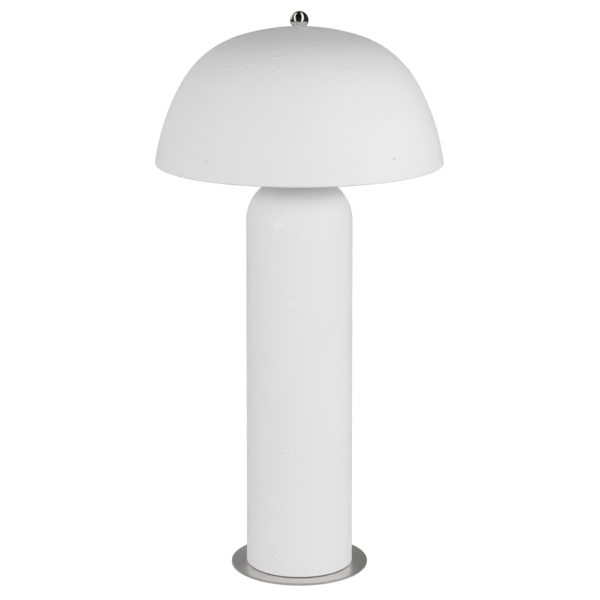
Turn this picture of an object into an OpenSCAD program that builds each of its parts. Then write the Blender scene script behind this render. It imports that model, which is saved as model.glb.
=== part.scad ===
// Ceramic table lamp: a dome shade on a harp over a tall round-shouldered column and a flat plate.
// Millimetres, +Z up. The origin is the centre of the footprint, on the surface that the pads stand on.
// The cord inlet faces +Y, at the back, and the switch knob faces -Y.

/* [Base plate] */
// Diameter of the metal plate
plate_d = 187; // [180:1:230]
// Thickness of the plate
plate_t = 3; // [2.5:0.5:6]
// Bevel of the plate's edge
plate_edge = 0.5; // [0.2:0.1:1]
// Diameter of a rubber pad under the plate
pad_d = 12; // [8:1:18]
// Height of a rubber pad
pad_h = 2; // [1:0.5:5]
// Number of pads
pad_count = 4; // [3:1:8]
// Distance from the plate's rim to a pad's edge
pad_margin = 5; // [2:1:12]

/* [Rod hub] */
// Diameter of the hub's flange, which the screws hold on the plate
hub_flange_d = 70; // [66:1:90]
// Thickness of the flange
hub_flange_t = 4; // [3:0.5:6]
// Diameter of the hub's boss
hub_boss_d = 24; // [20:1:30]
// Height of the hub above the plate
hub_h = 30; // [28:1:40]
// Depth of the rod's seat in the boss
rod_seat = 10; // [6:1:12]
// Diameter of the cord's way through the boss
cord_way_d = 7.5; // [6:0.5:8]
// Number of screws
screw_count = 3; // [3:1:6]
// Diameter of the circle that the screws stand on
screw_circle_d = 48; // [44:1:52]
// Diameter of a screw's thread
screw_d = 4; // [3:0.5:5]
// Diameter of a screw's countersunk head
screw_head_d = 7.6; // [6.6:0.2:9]
// Height of a screw's head
screw_head_h = 2.2; // [1.6:0.1:2.4]

/* [Column] */
// Diameter of the column at its foot
column_foot_d = 145; // [138:0.5:160]
// Diameter of the column where its shoulder begins
column_neck_d = 141.4; // [136:0.2:156]
// Height of the column
column_h = 534.2; // [440:0.2:620]
// Radius of the shoulder's arc
shoulder_r = 57.8; // [45:0.2:58]
// Thickness of the ceramic wall
column_wall = 7; // [6:0.5:9]
// Bevel round the column's foot
foot_bevel = 1; // [0.5:0.5:2]
// Thickness of the gasket under the foot
gasket_t = 0.8; // [0.5:0.1:2]
// Width of the gasket
gasket_w = 4; // [2:0.5:4.5]
// Distance from the column's outer edge to the gasket
gasket_inset = 1.5; // [0.5:0.5:1.5]

/* [Cord inlet] */
// Height of the inlet's centre above the column's foot
inlet_h = 22; // [16:1:60]
// Diameter of the bushing's bore
bushing_bore_d = 6.5; // [5:0.5:8]
// Wall of the bushing's neck
bushing_wall = 1.75; // [1.25:0.25:2.5]
// Width of the bushing's flange beyond the neck
bushing_lip = 2.5; // [1.5:0.5:4]
// Thickness of the bushing's flange
bushing_flange_t = 2; // [1:0.5:3]
// Length of the neck that stands inside the column
bushing_tail = 2; // [1:0.5:5]

/* [Rod and top fittings] */
// Diameter of the threaded rod
rod_d = 10; // [9:0.5:11]
// Diameter of the rod's bore
rod_bore_d = 7; // [5:0.5:7.5]
// Diameter of the grommet's flange on the column's top
grommet_d = 24; // [18:1:28]
// Thickness of the grommet's flange
grommet_t = 2; // [1:0.5:3]
// Wall of the grommet's neck in the column's hole
grommet_wall = 1.8; // [1:0.2:2.6]
// Length of the grommet's neck
grommet_neck = 6; // [3:0.5:8]
// Diameter of the metal cap over the column's top
vase_cap_d = 40; // [36:1:56]
// Height of the cap
vase_cap_h = 6; // [5:0.5:10]
// Thickness of the cap's metal
vase_cap_t = 1; // [0.8:0.1:1.4]
// Diameter of the flat on the cap, under the nut
vase_cap_flat_d = 20; // [19:0.5:24]
// Width across the flats of the nut
nut_w = 14; // [13:0.5:16]
// Thickness of the nut
nut_t = 4; // [3:0.5:6]

/* [Harp] */
// Thickness of the saddle's strap
saddle_t = 2; // [1.5:0.25:3]
// Width of the saddle's strap
saddle_w = 12; // [10:1:18]
// Diameter of the saddle's middle, round the rod
saddle_hub_d = 22; // [18:1:28]
// Inner radius of the saddle's bends
saddle_bend = 6; // [4:0.5:8]
// Height of the saddle's ears
ear_h = 12; // [12:0.5:16]
// Height of the posts that stand on the ears
post_h = 7; // [5:0.5:9]
// Distance between the harp's legs
harp_span = 58; // [54:1:64]
// Width of the harp's bow, from wire to wire
harp_w = 114; // [100:1:124]
// Height of the shade's seat above the saddle's underside
harp_h = 181.5; // [178:0.5:200]
// Diameter of the harp's wire
wire_d = 4; // [3:0.5:5]
// Straight length of a leg
leg_h = 20; // [20:1:26]
// Wall of a locking sleeve
sleeve_wall = 1.3; // [0.8:0.1:2]
// Height of a locking sleeve
sleeve_h = 14; // [12:0.5:16]
// Diameter of the eye at the top of the harp
eye_d = 14; // [12:0.5:18]
// Thickness of the eye
eye_t = 3; // [2:0.5:4]
// Diameter of the swivel's neck in the eye
swivel_neck_d = 5; // [4:0.5:6]
// Diameter of the swivel's rivet head, under the eye
rivet_d = 8; // [7:0.5:10]
// Thickness of the rivet head
rivet_t = 1.4; // [1:0.2:2]
// Diameter of the swivel's disc, which carries the shade
seat_d = 20; // [16:1:26]
// Thickness of the swivel's disc
seat_t = 2; // [1.5:0.25:3]
// Diameter of the threaded stud
stud_d = 6.35; // [5.5:0.05:7]
// Thickness of the rubber washer under the shade
washer_t = 1.5; // [1:0.25:3]

/* [Shade] */
// Diameter of the shade over its rim
shade_d = 380; // [350:1:420]
// Height of the shade
shade_h = 177.7; // [165:0.1:195]
// Thickness of the shade's wall
shade_wall = 4; // [3:0.5:6]
// Thickness of the shade at its middle
crown_t = 5; // [4.5:0.5:8]
// Radius of the crown's arc
crown_r = 266.7; // [240:0.1:300]
// Slope at which the crown's arc ends
crown_angle = 17.6; // [12:0.2:22]
// Slope at which the haunch's arc ends
haunch_angle = 59.9; // [54:0.1:64]
// Slope of the wall at the rim
rim_angle = 81.6; // [78:0.1:86]
// Diameter of the hole for the stud
shade_hole_d = 7.6; // [7.2:0.1:9]
// Diameter of the flat inside the crown
shade_flat_d = 30; // [28:1:44]

/* [Finial] */
// Diameter of the ball
finial_d = 24; // [20:0.5:32]
// Height of the ball's centre above its flat
finial_seat = 9; // [7:0.5:9.5]
// Length of thread that the stud gives the ball
finial_grip = 9; // [6:0.5:12]

/* [Socket] */
// Height of the threaded collar
collar_h = 8; // [6:0.5:10]
// Wall of the collar
collar_wall = 2; // [1.5:0.25:3]
// Diameter of the collar's set screw
set_screw_d = 3; // [2:0.5:4]
// Height of the socket's cap
socket_cap_h = 22; // [18:0.5:24]
// Height of the whole socket
socket_h = 60; // [58:0.5:62]
// Thickness of the cap's and the shell's metal
shell_t = 0.8; // [0.5:0.1:1]
// Depth of the shell in the cap
shell_lap = 6; // [4:0.5:8]
// Thickness of the insulating liner
liner_t = 0.6; // [0.4:0.1:1]
// Thickness of the screw shell's metal
thread_t = 0.4; // [0.3:0.1:0.5]
// Height of the switch body
switch_h = 25; // [24:0.5:27]
// Diameter of the wiring hole under the switch body
wiring_d = 7; // [6:0.5:8]
// Diameter of a terminal screw's head
terminal_d = 7; // [5:0.5:8]
// Diameter of the switch's stem
stem_d = 4; // [3:0.5:5]
// Height of the stem above the cap's edge
stem_rise = 5.5; // [5:0.5:6.5]
// Diameter of the knob
knob_d = 13; // [10:0.5:15]
// Length of the knob
knob_l = 13; // [10:0.5:18]
// Gap between the shell and the knob
knob_gap = 3; // [1.5:0.5:5]

/* [Bulb] */
// Diameter of the bulb's screw base
base_d = 26; // [25:0.2:27]
// Height of the bulb's screw base with its contact
base_h = 24; // [23:0.5:26]
// Pitch of the base's thread
thread_pitch = 3.63; // [3:0.01:4]
// Depth of the base's thread
thread_depth = 0.6; // [0.4:0.05:0.8]
// Diameter of the bulb
bulb_d = 60; // [50:1:66]
// Height of the bulb with its base
bulb_h = 104; // [98:0.5:108]
// Height of the seam between the bulb's body and its diffuser
seam_h = 58; // [54:0.5:62]
// Wall of the bulb's body and diffuser
bulb_wall = 1.2; // [0.8:0.1:2]
// Thickness of the light board
board_t = 1.6; // [1:0.2:2.4]
// Number of light chips on the board
chip_count = 8; // [4:1:12]

/* [Clearances] */
// Gap between pieces that slip into one another
slip = 0.2; // [0.1:0.05:0.3]
// Gap between the harp's wire and its sleeves
sleeve_gap = 0.25; // [0.15:0.05:0.5]
// Radial gap of the turning fits
turn_gap = 0.05; // [0.02:0.01:0.1]
// Gap between the bulb's tip and the contact under it
tip_gap = 0.3; // [0.2:0.1:0.5]
// Gap between the bulb's thread and the screw shell
thread_gap = 0.3; // [0.2:0.1:0.5]

/* [Hidden] */
$fn = 96;

NICKEL = "#b9b6b0";
STEEL = "#9c9c9c";
CERAMIC = "#f1f1ef";
RUBBER = "#2b2b2b";
BRASS = "#b8954f";
BLACK = "#1c1c1e";
FROST = "#f6f6f4";

// Heights of the stack, from the floor up
plate_z = pad_h;
plate_top = plate_z + plate_t;
column_z = plate_top + gasket_t;
column_top = column_z + column_h;
taper_h = column_h - shoulder_r;
top_flat_r = column_neck_d / 2 - shoulder_r;

// Height of the shoulder's surface at a distance from the axis
function shoulder_z(r) =
    r <= top_flat_r
        ? column_top
        : column_z + taper_h + sqrt(pow(shoulder_r, 2) - pow(r - top_flat_r, 2));

// Radius of the column's outside at a height above its foot
function column_r(h) = column_foot_d / 2 + (column_neck_d - column_foot_d) / 2 * h / taper_h;

// Points along an arc round c, from one angle to another
function arc(c, r, from, to, steps = 12) = [
    for (i = [0 : steps])
        let (a = from + (to - from) * i / steps)
            [c.x + r * cos(a), c.y + r * sin(a)]
];

// Rod hub
rod_z = plate_top + hub_h - rod_seat;
cord_way_z = plate_top + hub_flange_t + 1 + cord_way_d / 2;
screw_recess = 0.1;
screw_tip_cover = 0.6;

// Top fittings
grommet_neck_d = rod_d + 2 * slip + 2 * grommet_wall;
column_hole_d = grommet_neck_d + 2 * slip;
vase_cap_rim_r = vase_cap_d / 2 - vase_cap_t;
vase_cap_z = shoulder_z(vase_cap_rim_r);
vase_cap_top = vase_cap_z + vase_cap_h;
saddle_z = vase_cap_top + nut_t;
saddle_top = saddle_z + saddle_t;

// Cord inlet
inlet_z = column_z + inlet_h;
inlet_r = column_r(inlet_h);
bushing_neck_d = bushing_bore_d + 2 * bushing_wall;
bushing_flange_d = bushing_neck_d + 2 * bushing_lip;
inlet_hole_d = bushing_neck_d + 2 * slip;
inlet_face_d = bushing_flange_d + 4 * slip;
// The flange seats on a flat that just clears the curve of the wall
inlet_face_y = sqrt(pow(inlet_r, 2) - pow(inlet_face_d / 2, 2)) - slip;

// Harp
wire_r = wire_d / 2;
ear_top = saddle_z + ear_h;
post_top = ear_top + post_h;
leg_top = post_top + leg_h;
seat_z = saddle_z + harp_h;
swivel_play = 0.1;
eye_top = seat_z - seat_t - swivel_play;
bow_r = harp_w / 2;
bow_z = eye_top - wire_r - bow_r;
flare_x = (harp_w - harp_span) / 2;
flare_z = bow_z - leg_top;
flare_angle = 2 * atan(flare_x / flare_z);
flare_r = flare_z / (2 * sin(flare_angle));
sleeve_r = wire_r + sleeve_gap + sleeve_wall;
stud_r = stud_d / 2;
wire_knot_gap = 0.3;

// Shade: three arcs, tangent to one another, run from the crown to the rim
shade_under = seat_z + washer_t;
shade_top = shade_under + crown_t;
shade_rim = shade_top - shade_h;
lip_r = shade_wall / 2;
run_r = shade_d / 2 - lip_r * (1 - sin(rim_angle)) - crown_r * sin(crown_angle);
run_z = shade_h - lip_r * (1 + cos(rim_angle)) - crown_r * (1 - cos(crown_angle));
haunch_dr = sin(haunch_angle) - sin(crown_angle);
haunch_dz = cos(crown_angle) - cos(haunch_angle);
side_dr = sin(rim_angle) - sin(haunch_angle);
side_dz = cos(haunch_angle) - cos(rim_angle);
arcs_det = haunch_dr * side_dz - side_dr * haunch_dz;
haunch_r = (run_r * side_dz - run_z * side_dr) / arcs_det;
side_r = (haunch_dr * run_z - haunch_dz * run_r) / arcs_det;
crown_c = [0, shade_top - crown_r];
haunch_c = crown_c + (crown_r - haunch_r) * [sin(crown_angle), cos(crown_angle)];
side_c = haunch_c + (haunch_r - side_r) * [sin(haunch_angle), cos(haunch_angle)];
lip_c = side_c + (side_r - lip_r) * [sin(rim_angle), cos(rim_angle)];
shade_steps = 20;

// Socket, from the bulb's thread outwards
thread_crest_r = base_d / 2;
screw_shell_r = thread_crest_r + thread_gap + thread_depth + thread_t;
liner_in_r = screw_shell_r + slip;
liner_out_r = liner_in_r + liner_t;
shell_in_r = liner_out_r + slip;
shell_out_r = shell_in_r + shell_t;
cap_in_r = shell_out_r + slip;
cap_out_r = cap_in_r + shell_t;
collar_in_r = rod_d / 2 + turn_gap;
collar_out_r = collar_in_r + collar_wall;
collar_top = saddle_top + collar_h;
cap_floor = collar_top + shell_t;
cap_edge = saddle_top + socket_cap_h;
cap_round = 6;
shell_z = cap_edge - shell_lap;
socket_top = saddle_top + socket_h;
switch_top = cap_floor + switch_h;
switch_r = liner_in_r - slip;
stem_z = cap_edge + stem_rise;
knob_y = shell_out_r + knob_gap;
stem_root = 8;
socket_mouth = 1.5;
spigot_r = cap_out_r - cap_round - slip;
spigot_h = cap_round;
terminal_x = 9;
terminal_z = cap_floor + 8;
terminal_t = 1.8;
terminal_root = 4;

// Bulb
contact_h = 2.5;
bulb_z = switch_top + contact_h + tip_gap;
bulb_top = bulb_z + bulb_h;
bulb_c = bulb_top - bulb_d / 2;
base_top = bulb_z + base_h;
tip_t = 1.2;
insulator_t = 3;
seam_z = bulb_z + seam_h;
seam_r = sqrt(pow(bulb_d / 2, 2) - pow(seam_z - bulb_c, 2));
neck_r = thread_crest_r - thread_depth - thread_t - slip;
neck_depth = 6;
ledge_t = 1.5;
ledge_r = seam_r - bulb_wall - 3;
board_r = ledge_r + 1.5;
chip_w = 3;
chip_h = 0.8;

// A wavy profile for a rolled thread, with a plain collar above its last full turn
function thread_edge(r, z0, z1) = concat(
    [
        for (i = [0 : 8 * floor((z1 - z0) / thread_pitch)])
            [r - thread_depth * (1 - cos(45 * i)) / 2, z0 + i * thread_pitch / 8]
    ],
    [[r, z1]]
);
function reversed(list) = [for (i = [len(list) - 1 : -1 : 0]) list[i]];

module ring(r_in, r_out, z, h) {
    translate([0, 0, z])
    difference() {
        cylinder(r = r_out, h = h);
        translate([0, 0, -1])
        cylinder(r = r_in, h = h + 2);
    }
}

module round_about(count, r, turn = 0) {
    for (i = [0 : count - 1])
        rotate([0, 0, turn + 360 * i / count])
        translate([r, 0, 0])
        children();
}

module foot_pads() {
    color(RUBBER)
    round_about(pad_count, plate_d / 2 - pad_margin - pad_d / 2, 45)
    cylinder(d = pad_d, h = pad_h);
}

module at_screws() {
    round_about(screw_count, screw_circle_d / 2, 30)
    children();
}

module base_plate() {
    r = plate_d / 2;
    color(NICKEL)
    difference() {
        translate([0, 0, plate_z])
        rotate_extrude()
        polygon([
            [0, 0], [r - plate_edge, 0], [r, plate_edge],
            [r, plate_t - plate_edge], [r - plate_edge, plate_t], [0, plate_t]
        ]);
        at_screws() {
            translate([0, 0, plate_z - 1])
            cylinder(d = screw_d + 2 * slip, h = plate_t + 2);
            translate([0, 0, plate_z - 0.01])
            cylinder(
                d1 = screw_head_d + 2 * slip,
                d2 = screw_d + 2 * slip,
                h = screw_head_h + screw_recess
            );
        }
    }
}

module hub_screws() {
    tip = plate_top + hub_flange_t - screw_tip_cover;
    head_z = plate_z + screw_recess;
    color(STEEL)
    at_screws()
    difference() {
        union() {
            translate([0, 0, head_z])
            cylinder(d1 = screw_head_d, d2 = screw_d, h = screw_head_h);
            translate([0, 0, head_z + screw_head_h / 2])
            cylinder(d = screw_d, h = tip - head_z - screw_head_h / 2);
        }
        for (turn = [0, 90])
            rotate([0, 0, turn])
            translate([-screw_d / 2, -0.4, head_z - 1])
            cube([screw_d, 0.8, 2]);
    }
}

module rod_hub() {
    color(STEEL)
    difference() {
        union() {
            translate([0, 0, plate_top])
            cylinder(d = hub_flange_d, h = hub_flange_t);
            translate([0, 0, plate_top])
            cylinder(d = hub_boss_d, h = hub_h);
        }
        translate([0, 0, rod_z])
        cylinder(r = rod_d / 2 + turn_gap, h = rod_seat + 1);
        translate([0, 0, cord_way_z])
        cylinder(d = cord_way_d, h = rod_z - cord_way_z + 1);
        translate([0, 0, cord_way_z])
        rotate([-90, 0, 0])
        cylinder(d = cord_way_d, h = hub_boss_d);
        translate([0, 0, cord_way_z])
        sphere(d = cord_way_d);
        at_screws()
        translate([0, 0, plate_top - 1])
        cylinder(d = screw_d + 2 * turn_gap, h = hub_flange_t + 1 - screw_tip_cover / 2);
    }
}

module foot_gasket() {
    r = column_foot_d / 2 - gasket_inset;
    color(RUBBER)
    ring(r - gasket_w, r, plate_top, gasket_t);
}

module column() {
    foot_r = column_foot_d / 2;
    neck = column_neck_d / 2;
    shoulder_c = [top_flat_r, taper_h];
    color(CERAMIC)
    difference() {
        translate([0, 0, column_z])
        rotate_extrude()
        polygon(concat(
            [[foot_r - foot_bevel, 0], [column_r(foot_bevel), foot_bevel]],
            arc(shoulder_c, shoulder_r, 0, 90, 24),
            [[column_hole_d / 2, column_h], [column_hole_d / 2, column_h - column_wall]],
            arc(shoulder_c, shoulder_r - column_wall, 90, 0, 24),
            [[foot_r - column_wall, 0]]
        ));
        translate([0, 0, inlet_z])
        rotate([-90, 0, 0])
        cylinder(d = inlet_hole_d, h = neck * 2);
        translate([0, inlet_face_y, inlet_z])
        rotate([-90, 0, 0])
        cylinder(d = inlet_face_d, h = column_wall);
    }
}

module cord_bushing() {
    inner = sqrt(pow(inlet_r - column_wall, 2) - pow(inlet_hole_d / 2, 2)) - bushing_tail;
    length = inlet_face_y + bushing_flange_t - inner;
    color(BLACK)
    translate([0, 0, inlet_z])
    rotate([-90, 0, 0])
    difference() {
        union() {
            translate([0, 0, inner])
            cylinder(d = bushing_neck_d, h = length);
            translate([0, 0, inlet_face_y])
            cylinder(d = bushing_flange_d, h = bushing_flange_t);
        }
        translate([0, 0, inner - 1])
        cylinder(d = bushing_bore_d, h = length + 2);
    }
}

module threaded_rod() {
    color(STEEL)
    ring(rod_bore_d / 2, rod_d / 2, rod_z, cap_floor - rod_z);
}

module top_grommet() {
    bore = rod_d / 2 + slip;
    color(RUBBER) {
        difference() {
            union() {
                translate([0, 0, column_top])
                cylinder(d = grommet_d, h = grommet_t);
                translate([0, 0, column_top - grommet_neck])
                cylinder(d = grommet_neck_d, h = grommet_neck + grommet_t);
            }
            translate([0, 0, column_top - grommet_neck - 1])
            cylinder(r = bore, h = grommet_neck + grommet_t + 2);
        }
    }
}

module vase_cap() {
    flat_r = vase_cap_flat_d / 2;
    out_r = vase_cap_d / 2;
    dome_c = (pow(vase_cap_h, 2) + pow(flat_r, 2) - pow(out_r, 2)) / (2 * vase_cap_h);
    dome_r = norm([out_r, dome_c]);
    from = atan2(-dome_c, out_r);
    to = atan2(vase_cap_h - dome_c, flat_r);
    in_from = asin(-dome_c / (dome_r - vase_cap_t));
    in_to = asin((vase_cap_h - vase_cap_t - dome_c) / (dome_r - vase_cap_t));
    bore = rod_d / 2 + slip;
    color(NICKEL)
    translate([0, 0, vase_cap_z])
    rotate_extrude()
    polygon(concat(
        arc([0, dome_c], dome_r, from, to),
        [[bore, vase_cap_h], [bore, vase_cap_h - vase_cap_t]],
        arc([0, dome_c], dome_r - vase_cap_t, in_to, in_from)
    ));
}

module cap_nut() {
    color(NICKEL)
    translate([0, 0, vase_cap_top])
    difference() {
        cylinder(d = nut_w / cos(30), h = nut_t, $fn = 6);
        translate([0, 0, -1])
        cylinder(r = rod_d / 2 + turn_gap, h = nut_t + 2);
    }
}

module saddle_half() {
    ear_x = harp_span / 2;
    bend_c = [ear_x - saddle_t / 2 - saddle_bend, saddle_bend + saddle_t];
    polygon(concat(
        [[0, 0]],
        arc(bend_c, saddle_bend + saddle_t, -90, 0),
        [[ear_x + saddle_t / 2, ear_h], [ear_x - saddle_t / 2, ear_h]],
        arc(bend_c, saddle_bend, 0, -90),
        [[0, saddle_t]]
    ));
}

module harp_saddle() {
    post_root = 5;
    color(NICKEL)
    difference() {
        union() {
            for (side = [0, 1])
                mirror([side, 0, 0]) {
                    translate([0, saddle_w / 2, saddle_z])
                    rotate([90, 0, 0])
                    linear_extrude(saddle_w)
                    saddle_half();
                    translate([harp_span / 2, 0, ear_top - post_root])
                    cylinder(d = wire_d, h = post_root + post_h);
                }
            translate([0, 0, saddle_z])
            cylinder(d = saddle_hub_d, h = saddle_t);
        }
        translate([0, 0, saddle_z - 1])
        cylinder(r = rod_d / 2 + slip, h = saddle_t + 2);
    }
}

module sleeve(side) {
    translate([side * harp_span / 2, 0, 0])
    ring(wire_r + sleeve_gap, sleeve_r, ear_top, sleeve_h);
}

module sleeve_left() {
    color(NICKEL)
    sleeve(-1);
}

module sleeve_right() {
    color(NICKEL)
    sleeve(1);
}

// A run of the harp's wire, bent round c in the XZ plane between two angles.
// Its ends stop just short, because a small ball joins each run to the next.
module wire_arc(c, r, from, to) {
    cut = wire_knot_gap / r * 180 / PI;
    translate([c.x, 0, c.y])
    rotate([90, 0, 0])
    rotate([0, 0, from + cut])
    rotate_extrude(angle = to - from - 2 * cut)
    translate([r, 0])
    circle(r = wire_r);
}

module wire_knot(x, z) {
    translate([x, 0, z])
    sphere(r = wire_r + wire_knot_gap / 4);
}

module harp_wire() {
    leg_x = harp_span / 2;
    for (side = [0, 1])
        mirror([side, 0, 0]) {
            translate([leg_x, 0, post_top])
            cylinder(r = wire_r, h = leg_h - wire_knot_gap);
            wire_knot(leg_x, leg_top);
            wire_arc([leg_x + flare_r, leg_top], flare_r, 180 - flare_angle, 180);
            wire_knot(leg_x + flare_x / 2, leg_top + flare_z / 2);
            wire_arc([bow_r - flare_r, bow_z], flare_r, -flare_angle, 0);
            wire_knot(bow_r, bow_z);
        }
    wire_arc([0, bow_z], bow_r, 0, 180);
}

module harp() {
    color(NICKEL)
    difference() {
        union() {
            difference() {
                harp_wire();
                translate([0, 0, bow_z])
                cylinder(d = eye_d - wire_r, h = bow_r + wire_d);
            }
            translate([0, 0, eye_top - eye_t])
            cylinder(d = eye_d, h = eye_t);
        }
        translate([0, 0, eye_top - eye_t - 1])
        cylinder(r = swivel_neck_d / 2 + turn_gap, h = eye_t + 2);
    }
}

module harp_swivel() {
    rivet_z = eye_top - eye_t - swivel_play - rivet_t;
    stud_top = shade_top + finial_grip;
    color(NICKEL)
    union() {
        translate([0, 0, rivet_z])
        cylinder(d = rivet_d, h = rivet_t);
        translate([0, 0, rivet_z])
        cylinder(d = swivel_neck_d, h = seat_z - rivet_z);
        translate([0, 0, seat_z - seat_t])
        cylinder(d = seat_d, h = seat_t);
        translate([0, 0, seat_z - seat_t])
        cylinder(r = stud_r, h = stud_top - seat_z + seat_t);
    }
}

module shade_washer() {
    color(RUBBER)
    ring(stud_r + slip, seat_d / 2, seat_z, washer_t);
}

module shade() {
    flat_r = shade_flat_d / 2;
    hole_r = shade_hole_d / 2;
    flat_end = asin((flat_r + 2) / (crown_r - shade_wall));
    color(CERAMIC)
    rotate_extrude()
    polygon(concat(
        arc(crown_c, crown_r, 90 - asin(hole_r / crown_r), 90 - crown_angle, shade_steps),
        arc(haunch_c, haunch_r, 90 - crown_angle, 90 - haunch_angle, shade_steps),
        arc(side_c, side_r, 90 - haunch_angle, 90 - rim_angle, shade_steps),
        arc(lip_c, lip_r, 90 - rim_angle, -90 - rim_angle, 8),
        arc(side_c, side_r - shade_wall, 90 - rim_angle, 90 - haunch_angle, shade_steps),
        arc(haunch_c, haunch_r - shade_wall, 90 - haunch_angle, 90 - crown_angle, shade_steps),
        arc(crown_c, crown_r - shade_wall, 90 - crown_angle, 90 - flat_end, shade_steps),
        [[flat_r, shade_under], [hole_r, shade_under]]
    ));
}

module finial() {
    color(NICKEL)
    difference() {
        translate([0, 0, shade_top + finial_seat])
        sphere(d = finial_d);
        translate([0, 0, shade_top - finial_d])
        cylinder(d = finial_d * 2, h = finial_d);
        translate([0, 0, shade_top - 1])
        cylinder(r = stud_r + turn_gap, h = finial_grip + 1 + slip);
    }
}

module socket_cap() {
    wall_c = [cap_out_r - cap_round, collar_top + cap_round];
    color(NICKEL)
    difference() {
        rotate_extrude()
        polygon(concat(
            [[collar_in_r, saddle_top], [collar_out_r, saddle_top], [collar_out_r, collar_top]],
            arc(wall_c, cap_round, -90, 0),
            [[cap_out_r, cap_edge], [cap_in_r, cap_edge]],
            arc(wall_c, cap_round - shell_t, 0, -90),
            [[collar_in_r, cap_floor]]
        ));
        translate([0, 0, saddle_top + collar_h / 2])
        rotate([-90, 0, 0])
        cylinder(d = set_screw_d + 2 * turn_gap, h = cap_out_r);
    }
}

module cap_set_screw() {
    head_l = 1.5;
    slot_w = 0.6;
    length = collar_out_r + head_l - rod_d / 2 - slip;
    color(STEEL)
    translate([0, rod_d / 2 + slip, saddle_top + collar_h / 2])
    rotate([-90, 0, 0])
    difference() {
        cylinder(d = set_screw_d, h = length);
        translate([-set_screw_d, -slot_w / 2, length - head_l / 2])
        cube([2 * set_screw_d, slot_w, head_l]);
    }
}

module socket_shell() {
    bead_r = 0.8;
    notch_w = stem_d + 2 * knob_gap / 3;
    color(NICKEL)
    difference() {
        union() {
            ring(shell_in_r, shell_out_r, shell_z, socket_top - shell_z);
            translate([0, 0, socket_top - bead_r])
            rotate_extrude()
            translate([shell_out_r, 0])
            circle(r = bead_r, $fn = 24);
        }
        translate([0, 0, socket_top - 3])
        cylinder(r = shell_in_r, h = 6);
        translate([-notch_w / 2, -2 * shell_out_r, shell_z - 1])
        cube([notch_w, 2 * shell_out_r, stem_z - shell_z + 1]);
        translate([0, 0, stem_z])
        rotate([90, 0, 0])
        cylinder(d = notch_w, h = 2 * shell_out_r);
    }
}

module socket_liner() {
    color("#c9b48a")
    difference() {
        ring(liner_in_r, liner_out_r, shell_z, socket_top - socket_mouth - shell_z);
        translate([0, 0, stem_z])
        rotate([90, 0, 0])
        cylinder(d = stem_d + 4 * slip, h = 2 * shell_out_r);
    }
}

// The switch body stands on the cap's floor, inside the cap's round corner
module switch_body() {
    color(BLACK)
    difference() {
        union() {
            translate([0, 0, cap_floor])
            cylinder(r = spigot_r, h = spigot_h);
            translate([0, 0, cap_floor + spigot_h])
            cylinder(r = switch_r, h = switch_h - spigot_h);
        }
        translate([0, 0, cap_floor - 1])
        cylinder(d = wiring_d, h = spigot_h + 1);
        translate([0, 0, stem_z])
        rotate([90, 0, 0])
        translate([0, 0, -stem_root])
        cylinder(r = stem_d / 2 + turn_gap, h = 2 * switch_r + stem_root);
        for (side = [-1, 1]) {
            translate([side * (terminal_x + switch_r / 2), 0, terminal_z])
            cube([switch_r, terminal_d + 2, terminal_d + 2], center = true);
            translate([0, 0, terminal_z])
            rotate([0, side * 90, 0])
            translate([0, 0, terminal_x - terminal_root - slip])
            cylinder(d = terminal_d / 2 + 2 * turn_gap, h = switch_r);
        }
    }
}

module terminal_screws() {
    slot_w = 0.8;
    color(BRASS)
    for (side = [-1, 1])
        translate([0, 0, terminal_z])
        rotate([0, side * 90, 0])
        difference() {
            union() {
                translate([0, 0, terminal_x - terminal_root])
                cylinder(d = terminal_d / 2, h = terminal_root + terminal_t / 2);
                translate([0, 0, terminal_x])
                cylinder(d = terminal_d, h = terminal_t);
            }
            translate([-terminal_d, -slot_w / 2, terminal_x + terminal_t / 2])
            cube([2 * terminal_d, slot_w, terminal_t]);
        }
}

module rolled_shell(outer, wall) {
    inner = [for (p = outer) [p.x - wall, p.y]];
    rotate_extrude()
    polygon(concat(outer, reversed(inner)));
}

module screw_shell() {
    color(BRASS)
    rolled_shell(thread_edge(screw_shell_r, switch_top, socket_top - socket_mouth), thread_t);
}

module centre_contact() {
    strip_t = 0.5;
    strip_w = 5;
    foot_l = 7;
    color(BRASS)
    union() {
        translate([-foot_l / 2 - 1, -strip_w / 2, switch_top])
        cube([foot_l, strip_w, strip_t]);
        translate([foot_l / 2 - 1 - strip_t, -strip_w / 2, switch_top])
        cube([strip_t, strip_w, contact_h]);
        translate([-foot_l / 2, -strip_w / 2, switch_top + contact_h - strip_t])
        cube([foot_l - 1, strip_w, strip_t]);
    }
}

module switch_stem() {
    color(STEEL)
    translate([0, 0, stem_z])
    rotate([90, 0, 0])
    translate([0, 0, -stem_root + slip])
    cylinder(d = stem_d, h = knob_y + knob_l / 2 + stem_root - slip);
}

module turn_knob() {
    groove_count = 16;
    groove_r = 0.7;
    color(BLACK)
    translate([0, -knob_y, stem_z])
    rotate([90, 0, 0])
    difference() {
        union() {
            cylinder(d = knob_d, h = knob_l - 1);
            translate([0, 0, knob_l - 1])
            cylinder(d1 = knob_d, d2 = knob_d - 2, h = 1);
        }
        translate([0, 0, -1])
        cylinder(r = stem_d / 2 + turn_gap, h = knob_l / 2 + 1 + slip);
        round_about(groove_count, knob_d / 2 + 0.2)
        translate([0, 0, 2])
        cylinder(r = groove_r, h = knob_l, $fn = 24);
    }
}

module bulb_contact() {
    color(STEEL)
    translate([0, 0, bulb_z])
    cylinder(d1 = 7, d2 = 9.5, h = tip_t);
}

module bulb_insulator() {
    color(BLACK)
    translate([0, 0, bulb_z + tip_t])
    cylinder(d1 = 11, d2 = 2 * (thread_crest_r - thread_depth), h = insulator_t);
}

module bulb_screw_base() {
    color(STEEL)
    rolled_shell(thread_edge(thread_crest_r, bulb_z + tip_t + insulator_t, base_top), thread_t);
}

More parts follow.
